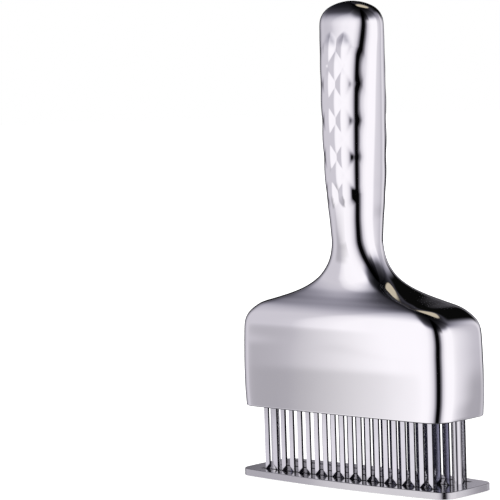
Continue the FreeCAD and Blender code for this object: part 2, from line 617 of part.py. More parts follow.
# -------------------------------- guide bushes, posts, clips, seats and springs
nodes_side = []
pins = []
for side, sx in (("left", -1), ("right", 1)):
    x = "%d * sizes.post_reach" % sx
    sleeve = add_cyl("bush_sleeve_" + side, "sizes.bush_radius", "sizes.carrier_thick", x, "0",
                     "sizes.carrier_low")
    flange = add_cyl("bush_flange_" + side, "sizes.bush_flange_radius",
                     "sizes.bush_flange_thick", x, "0", "sizes.carrier_low + sizes.carrier_thick")
    bore = add_cyl("bush_bore_" + side, "sizes.bush_bore", "sizes.carrier_thick + 4", x, "0",
                   "sizes.carrier_low - 1")
    bush = cut("guide_bush_" + side, fuse("bush_blank_" + side, [sleeve, flange]), bore)

    rod = add_cyl("post_rod_" + side, "sizes.post_radius",
                  "sizes.post_top - sizes.plate_thick", x, "0", "sizes.plate_thick")
    ring = add_cyl("post_groove_outer_" + side, "sizes.post_radius + 1", "sizes.groove_high", x,
                   "0", "sizes.groove_low")
    stem = add_cyl("post_groove_inner_" + side, "sizes.groove_radius", "sizes.groove_high", x,
                   "0", "sizes.groove_low")
    groove = cut("post_groove_" + side, ring, stem)
    tap = add_cyl("post_tap_" + side, "sizes.post_tap_radius", "sizes.post_tap_depth + 1", x, "0",
                  "sizes.plate_thick - 1")
    plain = cut("post_plain_" + side, rod, fuse("post_cuts_" + side, [groove, tap]))
    doc.recompute()
    post = doc.addObject("Part::Chamfer", "guide_post_" + side)
    post.Base = plain
    size = val("post_top_chamfer")
    found = []
    for i, e in enumerate(plain.Shape.Edges):
        bb = e.BoundBox
        if bb.ZLength < 1e-3 and abs(bb.ZMin - val("post_top")) < 1e-3:
            found.append((i + 1, size, size))
    post.Edges = found

    disc = add_cyl("clip_disc_" + side, "sizes.clip_radius", "sizes.clip_thick", x, "0",
                   "sizes.groove_low + 0.05")
    eye = add_cyl("clip_eye_" + side, "sizes.clip_bore", "sizes.clip_thick + 2", x, "0",
                  "sizes.groove_low - 1")
    mouth = add_box("clip_mouth_" + side, "sizes.clip_mouth", "sizes.clip_radius + 2",
                    "sizes.clip_thick + 2", x + " - sizes.clip_mouth / 2", "0",
                    "sizes.groove_low - 1")
    clip = cut("post_clip_" + side, disc, fuse("clip_cuts_" + side, [eye, mouth]))

    seat_disc = add_cyl("seat_disc_" + side, "sizes.seat_radius", "sizes.seat_thick", x, "0",
                        "sizes.seat_low")
    seat_eye = add_cyl("seat_eye_" + side, "sizes.seat_bore", "sizes.seat_thick + 2", x, "0",
                       "sizes.seat_low - 1")
    seat = cut("spring_seat_" + side, seat_disc, seat_eye)

    # helix of twelve-sided wire from the seat up to the pad in the housing
    helix = doc.addObject("Part::Helix", "spring_line_" + side)
    bind(helix, "Radius", "sizes.spring_mean_radius")
    bind(helix, "Height", "sizes.spring_high - sizes.spring_low - 2 * sizes.spring_wire_radius")
    bind(helix, "Pitch", "(sizes.spring_high - sizes.spring_low - 2 * sizes.spring_wire_radius)"
                         " / sizes.spring_turns")
    wire = doc.addObject("Part::RegularPolygon", "spring_wire_" + side)
    wire.Polygon = 12
    bind(wire, "Circumradius", "sizes.spring_wire_radius")
    wire.Placement = FreeCAD.Placement(V(0, 0, 0), FreeCAD.Rotation(V(1, 0, 0), 90))
    bind(wire, ".Placement.Base.x", "sizes.spring_mean_radius")
    doc.recompute()
    spring = doc.addObject("Part::Sweep", "return_spring_" + side)
    spring.Sections = [wire]
    spring.Spine = (helix, ["Edge1"])
    spring.Solid = True
    spring.Frenet = True
    bind(spring, ".Placement.Base.x", x)
    bind(spring, ".Placement.Base.z", "sizes.spring_low + sizes.spring_wire_radius")

    head = add_cone("pin_head_" + side, "sizes.pin_head_radius", "sizes.pin_radius",
                    "sizes.pin_head_high - sizes.pin_sink", x, "0", "sizes.pin_sink")
    shank = add_cyl("pin_shank_" + side, "sizes.pin_radius", "sizes.pin_length", x, "0",
                    "sizes.pin_sink")
    drive = add_box("pin_slot_" + side, "6", "0.6", "0.7", x + " - 3", "-0.3",
                    "sizes.pin_sink - 0.1")
    pins.append(cut("post_screw_" + side, fuse("pin_blank_" + side, [head, shank]), drive))
    nodes_side += [bush, post, clip, seat, spring]
post_screws = group("post_screws", pins)

# --------------------------------------------------------------- housing form
def section(lz, la, lb, lr, ls, le):
    """Poles of the closed outline at one level: a rounded rectangle whose long sides
    and ends are bowed, so that it is widest on its centre lines."""
    cx, cy = la - lr, lb - lr
    pts = []

    def seg(x0, y0, x1, y1, n):
        for k in range(n):
            f = k / float(n)
            pts.append((x0 + (x1 - x0) * f, y0 + (y1 - y0) * f))

    def arc(ax, ay, a0, n):
        for k in range(n):
            t = math.radians(a0 + 90.0 * k / n)
            pts.append((ax + lr * math.cos(t), ay + lr * math.sin(t)))

    seg(la, 0, la, cy, 2)
    arc(cx, cy, 0, 6)
    seg(cx, lb, -cx, lb, 6)
    arc(-cx, cy, 90, 6)
    seg(-la, cy, -la, -cy, 4)
    arc(-cx, -cy, 180, 6)
    seg(-cx, -lb, cx, -lb, 6)
    arc(cx, -cy, 270, 6)
    seg(la, -cy, la, 0, 2)
    return [V(x * (1 - le * (y / lb) ** 2 / la), y * (1 - ls * (x / la) ** 2 / lb), lz)
            for x, y in pts]


def levels(table, step):
    """Levels between those of the sheet, on a curve that never overshoots them."""
    n = len(table)
    dist = [0.0]
    for k in range(1, n):
        dist.append(dist[-1] + math.hypot(table[k][0] - table[k - 1][0],
                                          table[k][1] - table[k - 1][1]))
    gap = [dist[k + 1] - dist[k] for k in range(n - 1)]
    columns = list(zip(*table))
    slopes = []
    for col in columns:
        d = [(col[k + 1] - col[k]) / gap[k] for k in range(n - 1)]
        m = [d[0]] + [0.0] * (n - 2) + [d[-1]]
        for k in range(1, n - 1):
            if d[k - 1] * d[k] > 0:
                w1, w2 = 2 * gap[k] + gap[k - 1], gap[k] + 2 * gap[k - 1]
                m[k] = (w1 + w2) / (w1 / d[k - 1] + w2 / d[k])
        slopes.append(m)
    out = []
    for k in range(n - 1):
        count = max(1, int(round(gap[k] / step)))
        for q in range(count):
            t = q / float(count)
            h00, h10 = 2 * t ** 3 - 3 * t * t + 1, t ** 3 - 2 * t * t + t
            h01, h11 = -2 * t ** 3 + 3 * t * t, t ** 3 - t * t
            out.append(tuple(h00 * c[k] + h10 * gap[k] * m[k] + h01 * c[k + 1]
                             + h11 * gap[k] * m[k + 1] for c, m in zip(columns, slopes)))
    out.append(table[-1])
    return out


def spline_form(name, prefix, count):
    """One smooth surface through the levels, closed by a flat face at each end."""
    table = [tuple(val("%s_%s_%02d" % (prefix, k, i)) for k in
                   ("level", "length", "depth", "corner", "sidebow", "endbow"))
             for i in range(count)]
    rows = [section(*r) for r in levels(table, val("form_step"))]
    nu, nv = len(rows[0]), len(rows)
    poles = [[rows[v][u] for v in range(nv)] for u in range(nu)]
    surface = Part.BSplineSurface()
    surface.buildFromPolesMultsKnots(
        poles, [1] * (nu + 1), [4] + [1] * (nv - 4) + [4],
        [float(k) for k in range(nu + 1)], [float(k) for k in range(nv - 2)],
        True, False, 3, 3)
    side = surface.toShape()
    faces = [side]
    for e in side.Edges:
        if e.BoundBox.ZLength < 1e-4:
            faces.append(Part.Face(Part.Wire([e])))
    skin = Part.makeShell(faces)
    skin.sewShape()
    solid = Part.makeSolid(skin)
    if len(faces) != 3 or not solid.isValid() or solid.Volume <= 0:
        raise RuntimeError(name + ": the form does not close")
    o = doc.addObject("Part::Feature", name)
    o.Shape = solid
    o.Placement = FreeCAD.Placement(V(0, 0, 0), FreeCAD.Rotation())
    return o


outer_form = spline_form("housing_outer_form", "form", len(form))
core_form = spline_form("housing_core_form", "core", len(core))
shell = cut("housing_shell", outer_form, core_form)

# four screw bosses and two spring pads stand down from the ceiling of the casting
bosses = []
for i, (sx, sy) in enumerate(((-1, -1), (1, -1), (1, 1), (-1, 1))):
    bosses.append(add_cyl("boss_%d" % (i + 1), "sizes.boss_radius", "sizes.boss_high",
                          "%d * sizes.screw_reach" % sx, "%d * sizes.screw_side" % sy,
                          "sizes.spine_high"))
pads = []
for i, sx in enumerate((-1, 1)):
    pads.append(add_box("spring_pad_%d" % (i + 1), "sizes.pad_length", "sizes.pad_depth",
                        "sizes.pad_high",
                        "%d * sizes.post_reach - sizes.pad_length / 2" % sx,
                        "-sizes.pad_depth / 2", "sizes.pad_low"))
inner_metal = fuse("boss_metal", bosses + pads)
inner_trim = doc.addObject("Part::MultiCommon", "boss_metal_trimmed")
inner_trim.Shapes = [outer_form, inner_metal]
casting = fuse("housing_casting", [shell, inner_trim])
bores = []
for i, (sx, sy) in enumerate(((-1, -1), (1, -1), (1, 1), (-1, 1))):
    bores.append(add_cyl("boss_bore_%d" % (i + 1), "sizes.boss_bore",
                         "sizes.boss_bore_depth + 1", "%d * sizes.screw_reach" % sx,
                         "%d * sizes.screw_side" % sy, "sizes.spine_high - 1"))
housing = cut("housing", casting, fuse("boss_bores", bores))

# ------------------------------------------------------------------ write out
parts = [housing, guard_plate, front_comb, middle_comb, rear_comb, carrier, front_spacer,
         rear_spacer, front_clamp, rear_clamp, cross_bolts, cross_nuts, carrier_screws,
         post_screws] + nodes_side
for p in parts:
    p.Label = p.Name

doc.recompute()
for o in doc.Objects:
    if "Invalid" in o.State or "Error" in o.State:
        raise RuntimeError("failed object: %s %s" % (o.Name, o.State))
for p in parts:
    if p.Shape.isNull() or not p.Shape.isValid():
        raise RuntimeError("bad shape: " + p.Name)
    if p.Shape.Volume <= 0:
        raise RuntimeError("empty shape: " + p.Name)

os.makedirs("parts", exist_ok=True)
for p in parts:
    p.Shape.exportStep(os.path.join("parts", p.Label + ".step"))
    bb = p.Shape.BoundBox
    print("%-22s solids %2d  volume %9.1f  x %.2f..%.2f  y %.2f..%.2f  z %.2f..%.2f" % (
        p.Label, len(p.Shape.Solids), p.Shape.Volume, bb.XMin, bb.XMax, bb.YMin, bb.YMax,
        bb.ZMin, bb.ZMax))
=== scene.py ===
import math

import bpy
import numpy as np
from mathutils import Matrix, Vector


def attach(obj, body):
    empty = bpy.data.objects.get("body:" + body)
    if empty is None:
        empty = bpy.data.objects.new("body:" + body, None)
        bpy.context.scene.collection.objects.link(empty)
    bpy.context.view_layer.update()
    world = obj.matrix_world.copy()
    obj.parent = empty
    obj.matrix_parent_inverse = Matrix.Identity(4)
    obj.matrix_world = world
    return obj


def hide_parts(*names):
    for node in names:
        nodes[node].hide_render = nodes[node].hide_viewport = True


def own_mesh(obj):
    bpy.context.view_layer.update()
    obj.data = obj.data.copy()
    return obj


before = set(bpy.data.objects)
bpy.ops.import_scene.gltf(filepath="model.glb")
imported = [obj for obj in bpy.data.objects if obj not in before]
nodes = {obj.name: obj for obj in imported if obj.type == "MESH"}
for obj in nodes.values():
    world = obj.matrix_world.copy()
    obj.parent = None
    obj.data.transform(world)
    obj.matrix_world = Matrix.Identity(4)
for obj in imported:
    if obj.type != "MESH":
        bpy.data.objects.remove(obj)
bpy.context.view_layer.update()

MM = 0.001
scene = bpy.context.scene


# ------------------------------------------------------------------ camera
def make_camera():
    az, el, roll = math.radians(43.038), math.radians(4.6216), math.radians(-1.8166)
    back = Vector((math.sin(az) * math.cos(el), -math.cos(az) * math.cos(el), math.sin(el)))
    right = Vector((math.cos(az), math.sin(az), 0.0))
    up = back.cross(right)
    r = right * math.cos(roll) + up * math.sin(roll)
    u = -right * math.sin(roll) + up * math.cos(roll)
    target = Vector((0, 0, 108.0)) + right * -48.2335 + up * -1.6751
    place = (target + back * 1112.4188) * MM
    cam = bpy.data.objects.new("camera", bpy.data.cameras.new("camera"))
    scene.collection.objects.link(cam)
    cam.data.sensor_width = 36.0
    cam.data.lens = 178.80
    cam.data.clip_start, cam.data.clip_end = 0.01, 50.0
    m = Matrix((r, u, back)).transposed().to_4x4()
    m.translation = place
    cam.matrix_world = m
    scene.camera = cam


make_camera()
scene.view_settings.view_transform = "Standard"
scene.view_settings.look = "None"


# ------------------------------------------------------------ node helpers
class Nodes:
    """Small wrapper to write node trees line by line."""

    def __init__(self, tree):
        self.tree = tree
        tree.nodes.clear()

    def add(self, kind, **sets):
        n = self.tree.nodes.new(kind)
        for k, v in sets.items():
            setattr(n, k, v)
        return n

    def link(self, a, b):
        self.tree.links.new(a, b)

    def _feed(self, socket, v):
        if isinstance(v, bpy.types.NodeSocket):
            self.link(v, socket)
        elif v is not None:
            socket.default_value = v

    def math(self, op, a, b=None, c=None, clamp=False):
        n = self.add("ShaderNodeMath", operation=op, use_clamp=clamp)
        for i, v in enumerate((a, b, c)):
            self._feed(n.inputs[i], v)
        return n.outputs[0]

    def ramp(self, fac, stops, interpolation="LINEAR"):
        n = self.add("ShaderNodeValToRGB")
        n.color_ramp.interpolation = interpolation
        els = n.color_ramp.elements
        while len(els) > 1:
            els.remove(els[-1])
        for i, (pos, col) in enumerate(stops):
            e = els[0] if i == 0 else els.new(pos)
            e.position = pos
            col = (col, col, col) if isinstance(col, float) else col
            e.color = (col[0], col[1], col[2], 1.0)
        self._feed(n.inputs[0], fac)
        return n.outputs[0]

    def span(self, v, lo, hi, out_lo=0.0, out_hi=1.0, kind="SMOOTHSTEP"):
        n = self.add("ShaderNodeMapRange", interpolation_type=kind)
        for name, x in (("Value", v), ("From Min", lo), ("From Max", hi),
                        ("To Min", out_lo), ("To Max", out_hi)):
            self._feed(n.inputs[name], x)
        return n.outputs[0]

    def mix(self, fac, a, b, blend="MIX"):
        n = self.add("ShaderNodeMix", data_type="RGBA", blend_type=blend)
        for i, v in ((0, fac), (6, a), (7, b)):
            if isinstance(v, tuple) and len(v) == 3:
                v = (*v, 1.0)
            self._feed(n.inputs[i], v)
        return n.outputs[2]

    def noise(self, vec, scale, detail=3.0, rough=0.55, out="Fac"):
        n = self.add("ShaderNodeTexNoise")
        n.inputs["Scale"].default_value = scale
        n.inputs["Detail"].default_value = detail
        n.inputs["Roughness"].default_value = rough
        self.link(vec, n.inputs["Vector"])
        return n.outputs[out]


def lin(v):
    """Display value 0-255 to linear light."""
    v /= 255.0
    return v / 12.92 if v <= 0.04045 else ((v + 0.055) / 1.055) ** 2.4


# ---------------------------------------------------------- studio lighting
# A pale tent round the object, seen only in the chrome: white front and right walls, a
# black gap where the camera stands, a darker left corner, and a ceiling that falls to
# black with one warm lamp in it.  The front wall is close, the right wall far away.
TENT_CENTRE = (0.35, 0.30)
TENT_RADIUS = 0.90
EYE = 0.15                                    # height from which the panels are measured


def make_world():
    world = bpy.data.worlds.new("studio")
    scene.world = world
    world.use_nodes = True
    g = Nodes(world.node_tree)
    plain = g.add("ShaderNodeBackground")
    plain.inputs["Color"].default_value = (1.0, 1.0, 1.0, 1.0)
    plain.inputs["Strength"].default_value = 1.0
    out = g.add("ShaderNodeOutputWorld")
    g.link(plain.outputs[0], out.inputs["Surface"])


def grey(v):
    """A panel of display level v: the dimmer ones are a little cooler."""
    k, t = lin(v), min(1.0, max(0.0, (252 - v) / 100))
    return (k * (1 + 0.015 * t), k, k * (1.012 + 0.10 * t))


def tent_material():
    m = bpy.data.materials.new("tent_panels")
    m.use_nodes = True
    g = Nodes(m.node_tree)
    place = g.add("ShaderNodeNewGeometry").outputs["Position"]
    off = g.add("ShaderNodeVectorMath", operation="SUBTRACT")
    g.link(place, off.inputs[0])
    off.inputs[1].default_value = (0.0, 0.0, EYE)
    unit = g.add("ShaderNodeVectorMath", operation="NORMALIZE")
    g.link(off.outputs[0], unit.inputs[0])
    sep = g.add("ShaderNodeSeparateXYZ")
    g.link(unit.outputs[0], sep.inputs[0])
    x, y, z = sep.outputs
    side = g.math("MULTIPLY", g.math("ARCTAN2", x, g.math("MULTIPLY", y, -1.0)), 180 / math.pi)
    high = g.math("MULTIPLY", g.math("ARCSINE", z), 180 / math.pi)

    def between(v, a, b, c, d):
        return g.math("MULTIPLY", g.span(v, a, b), g.span(v, c, d, 1.0, 0.0))

    turn = g.math("MULTIPLY_ADD", side, 1 / 360.0, 0.5)

    def at(deg):
        return 0.5 + deg / 360.0

    wall = g.ramp(turn, [
        (at(-180), grey(178)), (at(-158), grey(200)), (at(-142), grey(172)), (at(-133), grey(165)),
        (at(-129), grey(60)), (at(-119), grey(70)), (at(-108), grey(122)), (at(-94), grey(180)),
        (at(-80), grey(205)), (at(-47), grey(204)), (at(-45), grey(208)), (at(-43), grey(232)),
        (at(-38), grey(251)), (at(-28), grey(254)), (at(-6), grey(250)), (at(8), grey(238)),
        (at(20), grey(214)), (at(29), grey(148)), (at(36), grey(6)), (at(50), grey(6)),
        (at(58), grey(120)), (at(66), grey(208)), (at(80), grey(246)), (at(94), grey(254)),
        (at(130), grey(253)), (at(134), grey(241)), (at(138), grey(222)), (at(143), grey(197)), (at(149), grey(193)),
        (at(156), grey(218)),
        (at(163), grey(226)), (at(180), grey(178)),
    ])

    def top(v):
        return (v, v * 0.965, v * (1.0 + 0.16 * (1 - v)))

    left = g.math("MULTIPLY", between(side, -110.0, -95.0, -60.0, -40.0), 4.0)
    left = g.math("ADD", left, g.math("MULTIPLY", between(side, -130.0, -105.0, -86.0, -64.0), 3.0))
    rise = g.span(g.math("ADD", high, left), 0.0, 90.0, kind="LINEAR")
    ceiling = g.ramp(rise, [(a / 90.0, top(v)) for a, v in (
        (0, 1.0), (15, 1.0), (20, 0.93), (24, 0.84), (28, 0.68), (32, 0.47), (36, 0.30), (40, 0.17),
        (44, 0.095), (50, 0.055), (58, 0.03), (68, 0.012), (80, 0.006), (90, 0.005))])
    light = g.mix(1.0, wall, ceiling, "MULTIPLY")
    # the lower part of the front wall is dimmer, in two steps, and so is the far right corner
    knee = g.ramp(turn, [(at(-66), 1.0), (at(-56), 0.82), (at(-50), 0.72), (at(-47), 0.75), (at(-45), 0.79),
                         (at(-43), 0.76), (at(-41), 0.80), (at(-38), 0.85), (at(-36), 0.93), (at(-33), 1.0)])
    light = g.mix(between(high, -24.0, -20.4, -17.0, -11.0), light, g.mix(1.0, light, knee, "MULTIPLY"))
    foot = g.ramp(turn, [(at(-66), 1.0), (at(-58), 0.95), (at(-50), 0.93), (at(-46), 0.85), (at(-43), 0.80),
                         (at(-36), 0.80), (at(-34), 0.81), (at(-31), 0.91), (at(-27), 1.0)])
    light = g.mix(between(high, -24.0, -20.4, -18.7, -17.3), light, g.mix(1.0, light, foot, "MULTIPLY"))
    corner = g.math("MULTIPLY", g.span(high, -8.0, -14.0), between(side, 136.0, 144.0, 168.0, 178.0))
    light = g.mix(g.math("MULTIPLY", corner, 0.28), light, (0.0, 0.0, 0.0))
    # the gap at the camera widens towards the ceiling
    gap = g.math("MULTIPLY", g.span(high, 12.0, 30.0), between(side, 48.0, 56.0, 70.0, 84.0))
    light = g.mix(g.math("MULTIPLY", gap, 0.8), light, (0.0, 0.0, 0.0))
    # under the tool the tent is in shade
    light = g.mix(g.span(high, -26.0, -42.0), light, grey(70))
    # the back wall is low
    round_back = g.math("MODULO", g.math("ADD", side, 360.0), 360.0)
    back = between(round_back, 158.0, 178.0, 225.0, 240.0)
    low = g.math("MULTIPLY", back, between(high, 4.0, 24.0, 40.0, 46.0))
    light = g.mix(low, light, (0.003, 0.003, 0.003))
    # a dark strip along the bottom of the back wall draws the outlines of the grip
    strip = g.math("MULTIPLY", between(round_back, 171.0, 177.0, 232.0, 238.0),
                   between(high, -14.0, -11.0, -4.0, 0.0))
    light = g.mix(g.math("MULTIPLY", strip, 0.9), light, grey(60))
    # warm lamp
    aim = g.add("ShaderNodeVectorMath", operation="DOT_PRODUCT")
    g.link(unit.outputs[0], aim.inputs[0])
    a, b = math.radians(LAMP[0]), math.radians(LAMP[1])
    aim.inputs[1].default_value = (math.sin(a) * math.cos(b), -math.cos(a) * math.cos(b), math.sin(b))
    away = g.math("MULTIPLY", g.math("ARCCOSINE", aim.outputs["Value"]), 180 / math.pi)
    glow = g.span(away, LAMP[2], LAMP[3], 1.0, 0.0)
    light = g.mix(glow, light, (0.535, 0.468, 0.362))
    emit = g.add("ShaderNodeEmission")
    g.link(light, emit.inputs["Color"])
    emit.inputs["Strength"].default_value = 1.06
    out = g.add("ShaderNodeOutputMaterial")
    g.link(emit.outputs[0], out.inputs["Surface"])
    m.cycles.emission_sampling = "NONE"
    return m


LAMP = (-159.0, 61.0, 10.5, 15.0)              # direction, height, full and outer radius


def make_tent():
    n, low, high = 96, -1.2, 2.6
    verts, faces = [], []
    for z in (low, high):
        for k in range(n):
            t = 2 * math.pi * k / n
            verts.append((TENT_CENTRE[0] + TENT_RADIUS * math.cos(t),
                          TENT_CENTRE[1] + TENT_RADIUS * math.sin(t), z))
    for k in range(n):
        w = (k + 1) % n
        faces.append((k, n + k, n + w, w))
    faces.append(tuple(range(n)))
    faces.append(tuple(range(2 * n - 1, n - 1, -1)))
    me = bpy.data.meshes.new("light_tent")
    me.from_pydata(verts, [], faces)
    me.update()
    ob = bpy.data.objects.new("light_tent", me)
    scene.collection.objects.link(ob)
    me.materials.append(tent_material())
    ob.visible_camera = False
    ob.visible_diffuse = False
    ob.visible_shadow = False
    ob.visible_transmission = False


make_world()
make_tent()


# ----------------------------------------------------------------- materials
def new_material(name):
    m = bpy.data.materials.new(name)
    m.use_nodes = True
    return m, Nodes(m.node_tree)


def metal(name, colour, rough, rough_vary=0.02, wave=0.0, wave_scale=30.0, grain=0.0,
          grain_stretch=(1.0, 1.0, 1.0), grain_scale=900.0, tone=0.0, tone_scale=40.0,
          edge=None, back=None, painted_dark_rim=0.0, along=None):
    """A polished or ground metal.  wave is the slow unevenness of a polished casting,
    grain the fine lines of grinding, tone a slight change of colour over the surface,
    edge the near-black painted shade laid on faces that turn sideways or down, which are
    also made non-metallic, back the darker painted shade laid on the rear face,
    outline how strong the painted dark rim is where the metal turns away, a painted
    reflection of the dark surroundings, along a painted shade that grows from left to right."""
    m, g = new_material(name)
    coord = g.add("ShaderNodeTexCoord").outputs["Object"]
    bsdf = g.add("ShaderNodeBsdfPrincipled")
    bsdf.inputs["Metallic"].default_value = 1.0
    bsdf.inputs["Specular IOR Level"].default_value = 0.1
    slow = g.noise(coord, tone_scale, 2.0)
    dark = tuple(c * (1 - tone) for c in colour)
    base = g.mix(g.span(slow, 0.35, 0.65), colour, dark)
    # painted shade: the colour is multiplied by the along colour more and more from the left end to the right end,
    # standing in for the dimmer light at the right
    if along:
        spot = g.add("ShaderNodeSeparateXYZ")
        g.link(coord, spot.inputs[0])
        base = g.mix(g.span(spot.outputs[0], -0.05, 0.05, kind="LINEAR"), base,
                     g.mix(1.0, base, along, "MULTIPLY"))
    # painted shade: faces that turn sideways or downwards are blended to the near-black edge colour and made
    # non-metallic, standing in for the shade in the gaps between blades and under them
    if edge:
        facing = g.add("ShaderNodeSeparateXYZ")
        g.link(g.add("ShaderNodeNewGeometry").outputs["True Normal"], facing.inputs[0])
        side = g.span(g.math("ABSOLUTE", facing.outputs[0]), 0.5, 0.68)
        under = g.span(facing.outputs[2], -0.2, -0.4)
        edge_shade_mask = g.math("MAXIMUM", side, under)
        # painted shade: faces turned to the back are blended to the darker back colour, standing in for the shade
        # inside the housing
        if back:
            base = g.mix(g.span(facing.outputs[1], 0.4, 0.8), base, back)
        base = g.mix(edge_shade_mask, base, edge)
        g.link(g.math("SUBTRACT", 1.0, edge_shade_mask), bsdf.inputs["Metallic"])
    g.link(base, bsdf.inputs["Base Color"])
    stretch = g.add("ShaderNodeMapping")
    stretch.inputs["Scale"].default_value = grain_stretch
    g.link(coord, stretch.inputs["Vector"])
    fine = g.noise(stretch.outputs[0], grain_scale, 4.0, 0.6)
    mixed = g.math("MULTIPLY_ADD", fine, rough_vary, rough - rough_vary / 2)
    g.link(mixed, bsdf.inputs["Roughness"])
    if grain > 0 or wave > 0:
        bump = g.add("ShaderNodeBump")
        bump.inputs["Strength"].default_value = 1.0
        bump.inputs["Distance"].default_value = MM
        low = g.noise(coord, wave_scale, 1.0)
        h = g.math("MULTIPLY_ADD", low, wave, g.math("MULTIPLY", fine, grain))
        g.link(h, bump.inputs["Height"])
        g.link(bump.outputs[0], bsdf.inputs["Normal"])
    result = bsdf.outputs[0]
    # painted reflection: where the metal turns away from the view it is blended into a near-black diffuse, standing
    # in for the dark surroundings mirrored along the outlines
    if painted_dark_rim > 0:
        turned = g.add("ShaderNodeLayerWeight")
        turned.inputs["Blend"].default_value = 0.5
        shade = g.add("ShaderNodeBsdfDiffuse")
        g.link(g.mix(slow, (0.010, 0.010, 0.012), (0.014, 0.014, 0.016)), shade.inputs["Color"])
        blend = g.add("ShaderNodeMixShader")
        g.link(g.span(turned.outputs["Facing"], 0.68, 0.86, 0.0, painted_dark_rim), blend.inputs[0])
        g.link(result, blend.inputs[1])
        g.link(shade.outputs[0], blend.inputs[2])
        result = blend.outputs[0]
    out = g.add("ShaderNodeOutputMaterial")
    g.link(result, out.inputs["Surface"])
    return m


# painted reflection: the chrome gets a near-black painted rim where it turns away
chrome = metal("chrome_plating", (0.93, 0.93, 0.94), 0.045, 0.02, wave=0.012, wave_scale=22.0,
               tone=0.012, painted_dark_rim=0.92)
plate_mat = metal("polished_plate", (0.66, 0.66, 0.67), 0.16, 0.05, grain=0.0006,
                  grain_stretch=(0.06, 1.0, 1.0), tone=0.05)
# painted shade: the first colour is laid on the blades' side and under faces, the second on their back faces
PAINTED_EDGE_SHADE, PAINTED_BACK_SHADE = (0.010, 0.009, 0.014), (0.10, 0.10, 0.15)
# painted shade: the front comb darkens towards its right end
blade_mat = metal("blade_steel_front", (0.93, 0.93, 0.96), 0.13, 0.05, grain=0.0006,
                  grain_stretch=(1.0, 1.0, 0.05), tone=0.05, tone_scale=120.0, edge=PAINTED_EDGE_SHADE, back=PAINTED_BACK_SHADE,
                  along=(0.77, 0.77, 0.79))
# painted shade: the middle and rear combs are darker, bluer copies of the same blade steel, standing in for the
# shade between and behind the combs
shaded_inner_mat = metal("blade_steel_shaded_inner", (0.26, 0.26, 0.36), 0.14, 0.05, grain=0.0006,
                  grain_stretch=(1.0, 1.0, 0.05), tone=0.10, tone_scale=120.0, edge=PAINTED_EDGE_SHADE, back=PAINTED_BACK_SHADE)
shaded_rear_mat = metal("blade_steel_shaded_rear", (0.66, 0.66, 0.72), 0.12, 0.05, grain=0.0006,
                 grain_stretch=(1.0, 1.0, 0.05), tone=0.08, tone_scale=120.0, edge=PAINTED_EDGE_SHADE, back=PAINTED_BACK_SHADE)
post_mat = metal("post_steel", (0.74, 0.74, 0.76), 0.08, 0.02, grain=0.0004,
                 grain_stretch=(1.0, 1.0, 0.3), tone=0.02)
carrier_mat = metal("carrier_aluminium", (0.62, 0.63, 0.66), 0.34, 0.10, grain=0.0030,
                    grain_stretch=(0.05, 1.0, 1.0), grain_scale=500.0, tone=0.08)
bar_mat = metal("bar_steel", (0.50, 0.51, 0.53), 0.30, 0.12, grain=0.0030,
                grain_stretch=(0.06, 1.0, 1.0), grain_scale=600.0, tone=0.10)
fastener_mat = metal("fastener_steel", (0.60, 0.60, 0.62), 0.22, 0.10, grain=0.0015, tone=0.08)
brass_mat = metal("bush_brass", (0.72, 0.52, 0.24), 0.24, 0.10, grain=0.0015, tone=0.12)
clip_mat = metal("clip_steel", (0.40, 0.41, 0.44), 0.30, 0.10, grain=0.0015, tone=0.10)
spring_mat = metal("spring_steel", (0.55, 0.56, 0.60), 0.22, 0.08, grain=0.0010, tone=0.08)


def floor_material():
    m, g = new_material("studio_floor")
    coord = g.add("ShaderNodeTexCoord").outputs["Object"]
    bsdf = g.add("ShaderNodeBsdfPrincipled")
    tone = g.noise(coord, 6.0, 2.0)
    g.link(g.mix(tone, (0.93, 0.93, 0.93), (0.95, 0.95, 0.95)), bsdf.inputs["Base Color"])
    bsdf.inputs["Roughness"].default_value = 0.9
    bsdf.inputs["Specular IOR Level"].default_value = 0.0
    bsdf.inputs["Emission Color"].default_value = (1.0, 1.0, 1.0, 1.0)
    bsdf.inputs["Emission Strength"].default_value = 0.55
    out = g.add("ShaderNodeOutputMaterial")
    g.link(bsdf.outputs[0], out.inputs["Surface"])
    return m


# --------------------------------------------------------------- mesh helper
def mesh_object(name, verts, faces, material, body, smooth=True, stands_for=()):
    """verts in millimetres."""
    me = bpy.data.meshes.new(name)
    me.from_pydata([tuple(v) for v in (np.asarray(verts, float) * MM)], [], faces)
    me.validate()
    me.update()
    if smooth:
        me.polygons.foreach_set("use_smooth", [True] * len(me.polygons))
    ob = bpy.data.objects.new(name, me)
    scene.collection.objects.link(ob)
    me.materials.append(material)
    if body:
        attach(ob, body)
    if stands_for:
        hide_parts(*stands_for)
    return ob


